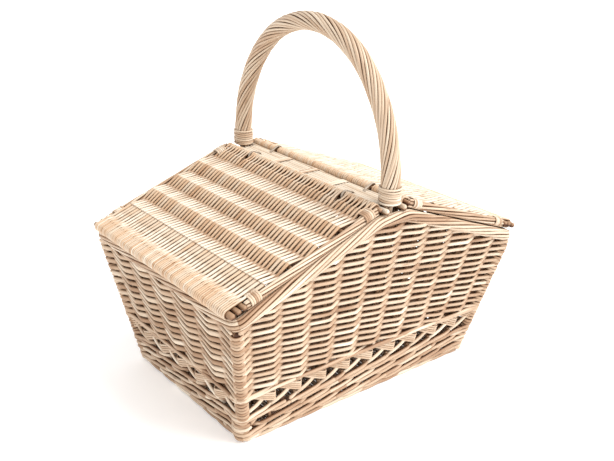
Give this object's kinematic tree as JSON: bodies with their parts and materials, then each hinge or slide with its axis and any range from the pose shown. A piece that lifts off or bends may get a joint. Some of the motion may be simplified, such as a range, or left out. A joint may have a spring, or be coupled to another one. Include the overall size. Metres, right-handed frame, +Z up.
{
  "type": "wicker picnic basket",
  "caption": "Rectangular woven willow picnic basket with flared walls, a fixed arched handle and two sloping hinged lids.",
  "frame": {"origin": "centre of the flat underside, on the surface that the basket stands on", "axes": "+X along the long side towards the right lid, +Y towards the back wall, +Z up through the handle"},
  "size_m": [0.4074, 0.2918, 0.4174],
  "materials": {
    "willow": "satin",
    "lid_willow": "satin",
    "border_willow": "satin",
    "handle_willow": "satin",
    "core_willow": "matte",
    "cane": "matte"
  },
  "bodies": {
    "basket": {"back_border": "border_willow", "back_crossed_rods": "willow", "back_handle_binding": "handle_willow", "back_left_corner_wrap": "border_willow", "back_left_hinge_loop": "cane", "back_lower_siding": "willow", "back_ribbon": "willow", "back_right_corner_wrap": "border_willow", "back_right_hinge_loop": "cane", "back_siding": "willow", "back_stakes": "core_willow", "base_panel": "willow", "base_sticks": "core_willow", "centre_bar": "border_willow", "centre_bar_lashings": "border_willow", "corner_stakes": "core_willow", "foot_border": "border_willow", "front_border": "border_willow", "front_crossed_rods": "willow", "front_handle_binding": "handle_willow", "front_left_corner_wrap": "border_willow", "front_left_hinge_loop": "cane", "front_lower_siding": "willow", "front_ribbon": "willow", "front_right_corner_wrap": "border_willow", "front_right_hinge_loop": "cane", "front_siding": "willow", "front_stakes": "core_willow", "handle_core": "core_willow", "handle_legs": "core_willow", "handle_strands": "handle_willow", "left_border": "border_willow", "left_crossed_rods": "willow", "left_lower_siding": "willow", "left_ribbon": "willow", "left_siding": "willow", "left_stakes": "core_willow", "right_border": "border_willow", "right_crossed_rods": "willow", "right_lower_siding": "willow", "right_ribbon": "willow", "right_siding": "willow", "right_stakes": "core_willow", "wale_line": "border_willow"},
    "left_lid": {"left_lid_cross_sticks": "core_willow", "left_lid_edge_rods": "lid_willow", "left_lid_end_rods": "lid_willow", "left_lid_hinge_rod": "lid_willow", "left_lid_panel": "lid_willow", "left_lid_ties": "lid_willow"},
    "right_lid": {"right_lid_cross_sticks": "core_willow", "right_lid_edge_rods": "lid_willow", "right_lid_end_rods": "lid_willow", "right_lid_hinge_rod": "lid_willow", "right_lid_panel": "lid_willow", "right_lid_ties": "lid_willow"}
  },
  "joints": [
    {"name": "left_lid_hinge", "type": "hinge", "parent": "basket", "child": "left_lid", "pos_m": [-0.02, 0, 0.2393], "axis": [0, 1, 0], "range_deg": [0, 110]},
    {"name": "right_lid_hinge", "type": "hinge", "parent": "basket", "child": "right_lid", "pos_m": [0.02, 0, 0.2393], "axis": [0, -1, 0], "range_deg": [0, 110]}
  ]
}
